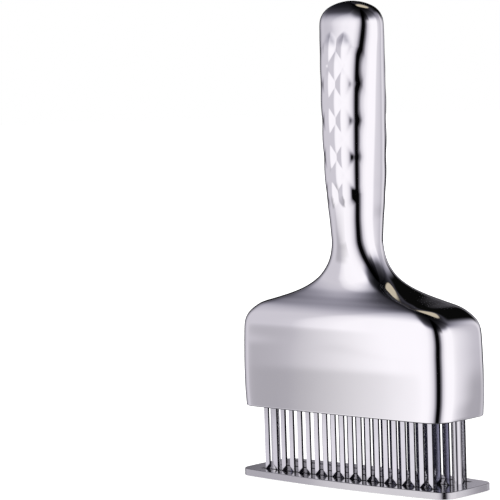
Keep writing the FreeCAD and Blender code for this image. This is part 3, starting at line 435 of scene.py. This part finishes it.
# ------------------------------------------------------------- housing form
# height, half length, half depth, corner radius, bow of the long side, bow of the end
FORM = [
    (32.6, 59.28, 19.20, 8.2, 1.12, 0.78), (42.0, 60.26, 18.95, 8.4, 1.12, 0.78),
    (52.0, 60.50, 18.84, 8.5, 1.12, 0.78), (61.0, 60.34, 18.72, 8.5, 1.14, 0.78),
    (66.5, 60.20, 18.75, 8.3, 1.50, 0.80), (70.5, 59.82, 18.76, 8.2, 1.55, 0.82),
    (73.5, 58.96, 18.54, 8.3, 1.52, 0.92), (76.0, 57.24, 17.98, 8.3, 1.52, 1.03),
    (78.2, 54.56, 17.11, 8.0, 1.48, 1.08), (80.2, 51.02, 16.07, 7.5, 1.36, 1.00),
    (82.5, 42.95, 14.76, 6.9, 1.36, 0.82), (85.5, 32.95, 13.10, 6.3, 1.56, 0.76),
    (89.0, 25.05, 11.48, 6.4, 1.84, 0.82), (93.5, 19.15, 10.26, 7.0, 2.12, 1.00),
    (99.0, 15.02, 9.90, 7.7, 2.05, 1.12), (104.5, 12.44, 10.28, 7.9, 1.70, 1.00),
    (110.0, 11.24, 10.82, 8.0, 1.28, 0.80), (117.0, 11.28, 11.34, 8.2, 0.86, 0.58),
    (126.0, 11.92, 11.90, 8.6, 0.58, 0.40), (138.0, 12.62, 12.30, 9.1, 0.50, 0.34),
    (152.0, 13.42, 12.52, 9.5, 0.57, 0.42), (168.0, 14.18, 12.46, 9.8, 0.77, 0.58),
    (182.0, 14.76, 12.00, 9.7, 0.93, 0.72), (194.0, 15.32, 11.08, 9.2, 1.02, 0.78),
    (201.0, 15.78, 10.12, 8.6, 1.00, 0.75), (205.0, 15.80, 9.50, 8.0, 0.85, 0.67),
    (208.0, 15.34, 9.09, 7.4, 0.65, 0.58), (210.5, 14.12, 8.46, 6.7, 0.56, 0.53),
    (212.5, 12.20, 7.32, 6.0, 0.52, 0.46), (214.0, 9.56, 5.87, 4.9, 0.44, 0.38),
    (215.2, 6.22, 4.06, 3.5, 0.32, 0.28), (215.8, 3.16, 2.66, 2.3, 0.22, 0.20),
    (216.0, 1.00, 1.60, 0.9, 0.12, 0.15),
]
CORE = [
    (32.6, 57.08, 17.09, 6.2, 1.0, 0.7), (45.0, 57.50, 17.00, 6.2, 1.0, 0.7),
    (58.0, 57.80, 16.60, 6.2, 1.0, 0.7), (66.0, 57.60, 16.10, 6.2, 1.0, 0.7),
    (70.5, 57.00, 15.50, 6.1, 0.9, 0.7), (73.0, 55.40, 14.90, 6.0, 0.9, 0.7),
    (75.5, 51.00, 14.20, 6.0, 0.8, 0.7), (78.5, 42.50, 13.20, 5.9, 0.8, 0.7),
    (82.5, 29.50, 11.60, 5.8, 0.7, 0.6), (87.0, 20.00, 10.00, 5.7, 0.6, 0.6),
    (93.0, 13.60, 8.40, 5.6, 0.5, 0.5), (100.0, 9.90, 7.50, 5.6, 0.5, 0.5),
    (110.0, 8.40, 7.40, 5.6, 0.5, 0.5), (124.0, 9.40, 8.40, 6.3, 0.5, 0.5),
    (146.0, 10.40, 9.40, 7.0, 0.5, 0.5), (178.0, 11.00, 9.30, 7.0, 0.5, 0.5),
    (190.0, 10.30, 8.40, 6.6, 0.4, 0.4), (194.0, 7.60, 6.40, 5.4, 0.2, 0.2),
    (196.0, 3.20, 2.80, 2.6, 0.0, 0.0),
]


def levels(table, step):
    """Levels between those of the table, on a curve that never overshoots them."""
    t = np.asarray(table, float)
    gap = np.hypot(np.diff(t[:, 0]), np.diff(t[:, 1]))
    d = np.diff(t, axis=0) / gap[:, None]
    m = np.zeros_like(t)
    m[0], m[-1] = d[0], d[-1]
    for k in range(1, len(t) - 1):
        w1, w2 = 2 * gap[k] + gap[k - 1], gap[k] + 2 * gap[k - 1]
        for c in range(t.shape[1]):
            if d[k - 1, c] * d[k, c] > 0:
                m[k, c] = (w1 + w2) / (w1 / d[k - 1, c] + w2 / d[k, c])
    out = []
    for k in range(len(t) - 1):
        n = max(1, int(round(gap[k] / step)))
        for q in range(n):
            f = q / n
            out.append((2 * f ** 3 - 3 * f * f + 1) * t[k] + (f ** 3 - 2 * f * f + f) * gap[k] * m[k]
                       + (3 * f * f - 2 * f ** 3) * t[k + 1] + (f ** 3 - f * f) * gap[k] * m[k + 1])
    out.append(t[-1])
    return np.array(out)


def section_poles(rows):
    z, a, b, r, ls, le = rows.T
    cx, cy, o = a - r, b - r, np.zeros_like(a)
    pts = []

    def seg(x0, y0, x1, y1, n):
        for k in range(n):
            pts.append((x0 + (x1 - x0) * k / n, y0 + (y1 - y0) * k / n))

    def arc(ax, ay, a0):
        for k in range(6):
            t = math.radians(a0 + 15.0 * k)
            pts.append((ax + r * math.cos(t), ay + r * math.sin(t)))

    seg(a, o, a, cy, 2)
    arc(cx, cy, 0)
    seg(cx, b, -cx, b, 6)
    arc(-cx, cy, 90)
    seg(-a, cy, -a, -cy, 4)
    arc(-cx, -cy, 180)
    seg(-cx, -b, cx, -b, 6)
    arc(cx, -cy, 270)
    seg(a, -cy, a, o, 2)
    x = np.array([p[0] for p in pts]).T
    y = np.array([p[1] for p in pts]).T
    xx = x * (1 - le[:, None] * (y / b[:, None]) ** 2 / a[:, None])
    yy = y * (1 - ls[:, None] * (x / a[:, None]) ** 2 / b[:, None])
    return np.stack([xx, yy, np.repeat(z[:, None], x.shape[1], 1)], 2)


def open_weights(n, t):
    """Cubic basis with n poles and clamped ends, at parameters t in 0..n-3."""
    knots = np.concatenate([[0] * 3, np.arange(n - 2), [n - 3] * 3]).astype(float)
    t = np.minimum(t, n - 3 - 1e-9)
    w = ((t[:, None] >= knots[None, :-1]) & (t[:, None] < knots[None, 1:])).astype(float)
    for p in range(1, 4):
        nxt = np.zeros((len(t), w.shape[1] - 1))
        for i in range(w.shape[1] - 1):
            d1, d2 = knots[i + p] - knots[i], knots[i + p + 1] - knots[i + 1]
            if d1 > 0:
                nxt[:, i] += (t - knots[i]) / d1 * w[:, i]
            if d2 > 0:
                nxt[:, i] += (knots[i + p + 1] - t) / d2 * w[:, i + 1]
        w = nxt
    return w


def round_weights(n, t):
    """Cubic basis with n poles on a closed loop."""
    i = np.floor(t).astype(int)
    f = t - i
    w = np.zeros((len(t), n))
    parts = ((1 - f) ** 3 / 6, (3 * f ** 3 - 6 * f ** 2 + 4) / 6,
             (-3 * f ** 3 + 3 * f ** 2 + 3 * f + 1) / 6, f ** 3 / 6)
    for k, p in enumerate(parts):
        w[np.arange(len(t)), (i - 1 + k) % n] += p
    return w


def form_grid(table, step, columns, spacing):
    """Points of the spline surface, rows from the bottom up, and its outward normals.
    spacing(z) is the wanted distance between rows."""
    poles = section_poles(levels(table, step))
    n, m = poles.shape[:2]
    # choose the row parameters from the mid-line of the long side
    fine = np.linspace(0, n - 3, (n - 3) * 40 + 1)
    line = open_weights(n, fine) @ np.stack([poles[:, 0, 0], poles[:, m // 4 + 1, 1],
                                             poles[:, 0, 2]], 1)
    step_len = np.linalg.norm(np.diff(line, axis=0), axis=1)
    ts, run = [0.0], 0.0
    for k, d in enumerate(step_len):
        run += d / spacing(line[k, 2])
        if run >= 1.0:
            ts.append(fine[k + 1])
            run = 0.0
    if n - 3 - ts[-1] > 1e-3:
        ts.append(float(n - 3))
    tv = np.array(ts)
    tu = np.arange(columns) * m / columns
    wv, wu = open_weights(n, tv), round_weights(m, tu)
    e = 1e-4
    grid = np.einsum("vi,ijk,uj->vuk", wv, poles, wu, optimize=True)
    up = np.einsum("vi,ijk,uj->vuk",
                   open_weights(n, np.minimum(tv + e, n - 3)) - open_weights(n, np.maximum(tv - e, 0)),
                   poles, wu, optimize=True)
    along = np.einsum("vi,ijk,uj->vuk", wv, poles,
                      round_weights(m, (tu + e) % m) - round_weights(m, (tu - e) % m), optimize=True)
    normal = np.cross(along, up)
    normal /= np.linalg.norm(normal, axis=2, keepdims=True) + 1e-15
    return grid, normal


# quilted grip: a field of shallow oval domes, front and back, that meet in creases
CELL_W, CELL_H, CELL_RISE = 4.20, 8.05, 0.66        # half width, half height, rise in mm
CELL_TOP = 195.35                                   # centre of the highest row
CELL_END = 6.4                                      # half height beyond the first and last row
CELL_SOFT = 0.20                                    # rounding of the creases
CELLS = [(sx * CELL_W, CELL_TOP - 2 * CELL_H * k) for k in range(5) for sx in (-1, 1)]
CELLS += [(sx * 2 * CELL_W, CELL_TOP - CELL_H - 2 * CELL_H * k) for k in range(4)
          for sx in (-1, 0, 1)]


def quilt_rise(x, z):
    """How far the grip stands above its plain form at distance x from the middle."""
    def ease(v, a, b):
        t = np.clip((v - a) / (b - a), 0, 1)
        return t * t * (3 - 2 * t)

    # the ground between the domes lies a little lower than the plain form around them
    inside = (ease(z, CELL_TOP - 7.9 * CELL_H, CELL_TOP - 7.2 * CELL_H)
              * ease(-z, -(CELL_TOP - 0.1 * CELL_H), -(CELL_TOP - 0.8 * CELL_H))
              * ease(-np.abs(x), -2.7 * CELL_W, -2.1 * CELL_W))
    rise = -0.16 * inside
    # the first and last rows end sooner, with a softer edge
    low = CELL_TOP - 8 * CELL_H
    tall = np.where((z > CELL_TOP) | (z < low), CELL_END, CELL_H)
    end = np.maximum(ease(z, CELL_TOP, CELL_TOP + 4.0), ease(-z, -low, -low + 4.0))
    soft = CELL_SOFT + 0.06 * end
    power = 1.0 - 0.34 * end                            # the outer ends are drawn to a point
    for cx, cz in CELLS:
        high = CELL_RISE * (1.0 if abs(cx) < 1.5 * CELL_W else 0.60)
        dome = high * (1 - (((x - cx) / CELL_W) ** 2 + 0.004 * end) ** power
                            - ((z - cz) / np.where(np.abs(z - cz) < 1.2 * CELL_H, tall, CELL_H)) ** 2)
        f = np.clip(0.5 + 0.5 * (dome - rise) / soft, 0, 1)
        rise = rise * (1 - f) + dome * f + soft * f * (1 - f)
    return rise


def build_housing():
    columns = 352

    def spacing(z):
        if 118 < z < 206:
            return 0.30
        return 0.75

    outer, normal = form_grid(FORM, 2.0, columns, spacing)
    # raise the quilt on the two broad faces of the grip
    zone = (outer[:, 0, 2] > 110) & (outer[:, 0, 2] < 210)
    rise = quilt_rise(outer[zone][:, :, 0], outer[zone][:, :, 2])
    outer[zone] = outer[zone] + normal[zone] * rise[:, :, None]
    inner, _ = form_grid(CORE, 3.0, columns, lambda z: 3.0)
    # rim: rounded over on both edges, flat between
    rings = [inner[v] for v in range(len(inner) - 1, 0, -1)]
    a, b = inner[0], outer[0]
    lip, rr = (b - a), 0.45
    length = np.linalg.norm(lip, axis=1, keepdims=True)
    unit = lip / length
    for t in (90, 60, 30, 0):
        c = math.cos(math.radians(t))
        s = math.sin(math.radians(t))
        p = a + unit * rr * (1 - s)
        p[:, 2] = 32.6 + rr * (1 - c)
        rings.append(p)
    for t in (0, 22.5, 45, 67.5, 90):
        c = math.cos(math.radians(t))
        s = math.sin(math.radians(t))
        p = b - unit * rr * (1 - s)
        p[:, 2] = 32.6 + rr * (1 - c)
        rings.append(p)
    first = next(v for v in range(len(outer)) if outer[v, 0, 2] > 32.6 + rr + 0.2)
    rings += [outer[v] for v in range(first, len(outer))]
    rings = np.array(rings)
    n = len(rings)
    verts = rings.reshape(-1, 3)
    faces = []
    for v in range(n - 1):
        base, nxt = v * columns, (v + 1) * columns
        for u in range(columns):
            w = (u + 1) % columns
            faces.append((base + u, base + w, nxt + w, nxt + u))
    verts = list(verts) + [rings[0].mean(0), rings[-1].mean(0)]
    low, high = n * columns, n * columns + 1
    for u in range(columns):
        w = (u + 1) % columns
        faces.append((low, w, u))
        faces.append((high, (n - 1) * columns + u, (n - 1) * columns + w))
    return mesh_object("housing_casting", verts, faces, chrome, "body",
                       stands_for=("housing",))


build_housing()


# ---------------------------------------------------------------- blade combs
def build_comb(name, y0, node, material):
    """One strip: a spine with ten mirrored pairs of blades.  The tips are ground from the
    front to an edge that lies on the back face; the front corners are broken."""
    half, w, pitch, c = 49.465, 2.6, 5.07, 0.12
    y_f, y_b = y0 - 0.45, y0 + 0.45
    spine_low, spine_high, rise, deep = 38.6, 46.6, 1.6, 0.84
    verts, faces = [], []

    def add(x, y, z):
        verts.append((x, y, z))
        return len(verts) - 1

    xs = []
    for k in range(20):
        x0 = -half + pitch * k
        xs += [x0, x0 + w]
    xs[0], xs[-1] = -half, half
    top_f = [add(x, y_f, spine_high) for x in xs]
    top_b = [add(x, y_b, spine_high) for x in xs]
    mid_f = [add(x, y_f, spine_low) for x in xs]
    mid_b = [add(x, y_b, spine_low) for x in xs]
    # broken corners begin under the spine
    side = [add(x, y_f + c, spine_low) for x in xs]
    face = [add(x + (c if k % 2 == 0 else -c), y_f, spine_low) for k, x in enumerate(xs)]
    n = len(xs)
    for k in range(n - 1):
        front = [top_f[k], mid_f[k]] + ([face[k], face[k + 1]] if k % 2 == 0 else []) + [mid_f[k + 1], top_f[k + 1]]
        faces.append(tuple(front))
        faces.append((top_b[k + 1], mid_b[k + 1], mid_b[k], top_b[k]))
        faces.append((top_f[k], top_f[k + 1], top_b[k + 1], top_b[k]))
        if k % 2 == 1:                               # gap between two blades
            faces.append((mid_f[k], side[k], mid_b[k], mid_b[k + 1], side[k + 1], mid_f[k + 1]))
    faces.append((top_f[0], top_b[0], mid_b[0], side[0], mid_f[0]))
    faces.append((top_f[-1], mid_f[-1], side[-1], mid_b[-1], top_b[-1]))
    for k in range(20):
        i, j = 2 * k, 2 * k + 1
        zl, zr = (1.4, 4.0) if k % 2 == 0 else (4.0, 1.4)    # outer side of a pair is lower

        def tip(x, t):
            f = (x - xs[i]) / (xs[j] - xs[i])
            return zl + (zr - zl) * f + rise * (1 - t / deep)

        a = add(xs[i], y_f + c, tip(xs[i], c))
        b = add(xs[i] + c, y_f, tip(xs[i] + c, 0.0))
        d = add(xs[j] - c, y_f, tip(xs[j] - c, 0.0))
        e = add(xs[j], y_f + c, tip(xs[j], c))
        el, er = add(xs[i], y_f + deep, zl), add(xs[j], y_f + deep, zr)
        bl, br = add(xs[i], y_b, zl), add(xs[j], y_b, zr)
        faces.append((face[i], b, d, face[j]))
        faces.append((side[i], a, b, face[i]))
        faces.append((face[j], d, e, side[j]))
        faces.append((mid_f[i], face[i], side[i]))
        faces.append((mid_f[j], side[j], face[j]))
        faces.append((mid_b[j], br, bl, mid_b[i]))
        faces.append((a, el, er, e, d, b))
        faces.append((el, bl, br, er))
        faces.append((side[i], mid_b[i], bl, el, a))
        faces.append((side[j], e, er, br, mid_b[j]))
    return mesh_object(name, verts, faces, material, "body", smooth=False,
                       stands_for=(node,))


build_comb("front_comb_ground", -11.35, "front_blade_comb", blade_mat)
build_comb("middle_comb_ground", 0.0, "middle_blade_comb", shaded_inner_mat)
build_comb("rear_comb_ground", 11.35, "rear_blade_comb", shaded_rear_mat)


# ----------------------------------------------------- finish of the CAD nodes
def finish(node, material):
    o = nodes[node]
    if not o.material_slots:
        o.data.materials.append(material)
    for s in o.material_slots:
        s.material = material


for node, mat in (
        ("guard_plate", plate_mat), ("blade_carrier", carrier_mat),
        ("front_spacer_bar", bar_mat), ("rear_spacer_bar", bar_mat),
        ("front_clamp_bar", bar_mat), ("rear_clamp_bar", bar_mat),
        ("cross_bolts", fastener_mat), ("cross_bolt_nuts", fastener_mat),
        ("carrier_screws", fastener_mat), ("post_screws", fastener_mat),
        ("guide_bush_left", brass_mat), ("guide_bush_right", brass_mat),
        ("guide_post_left", post_mat), ("guide_post_right", post_mat),
        ("post_clip_left", clip_mat), ("post_clip_right", clip_mat),
        ("spring_seat_left", clip_mat), ("spring_seat_right", clip_mat),
        ("return_spring_left", spring_mat), ("return_spring_right", spring_mat)):
    finish(node, mat)


# ----------------------------------------- springs copied from the CAD ones
def make_spring(side):
    """The same coil as the CAD one, as its own mesh on the body."""
    cad = nodes["return_spring_" + side]
    ob = bpy.data.objects.new("coil_spring_" + side, cad.data.copy())
    scene.collection.objects.link(ob)
    ob.matrix_world = cad.matrix_world.copy()
    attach(ob, "body")
    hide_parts("return_spring_" + side)
    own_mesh(ob)


make_spring("left")
make_spring("right")


# ----------------------------------------------------------------- the floor
def make_floor():
    n, size = 64, 6.0
    verts = [(0.0, 0.0, -0.0002)]
    faces = []
    rings = (0.2, 0.5, 1.2, 3.0, size)
    for r in rings:
        for k in range(n):
            t = 2 * math.pi * k / n
            verts.append((r * math.cos(t), r * math.sin(t), -0.0002))
    for k in range(n):
        faces.append((0, 1 + k, 1 + (k + 1) % n))
    for i in range(len(rings) - 1):
        a, b = 1 + i * n, 1 + (i + 1) * n
        for k in range(n):
            w = (k + 1) % n
            faces.append((a + k, b + k, b + w, a + w))
    me = bpy.data.meshes.new("studio_floor")
    me.from_pydata(verts, [], faces)
    me.update()
    ob = bpy.data.objects.new("studio_floor", me)
    scene.collection.objects.link(ob)
    me.materials.append(floor_material())
    ob.visible_glossy = False


make_floor()
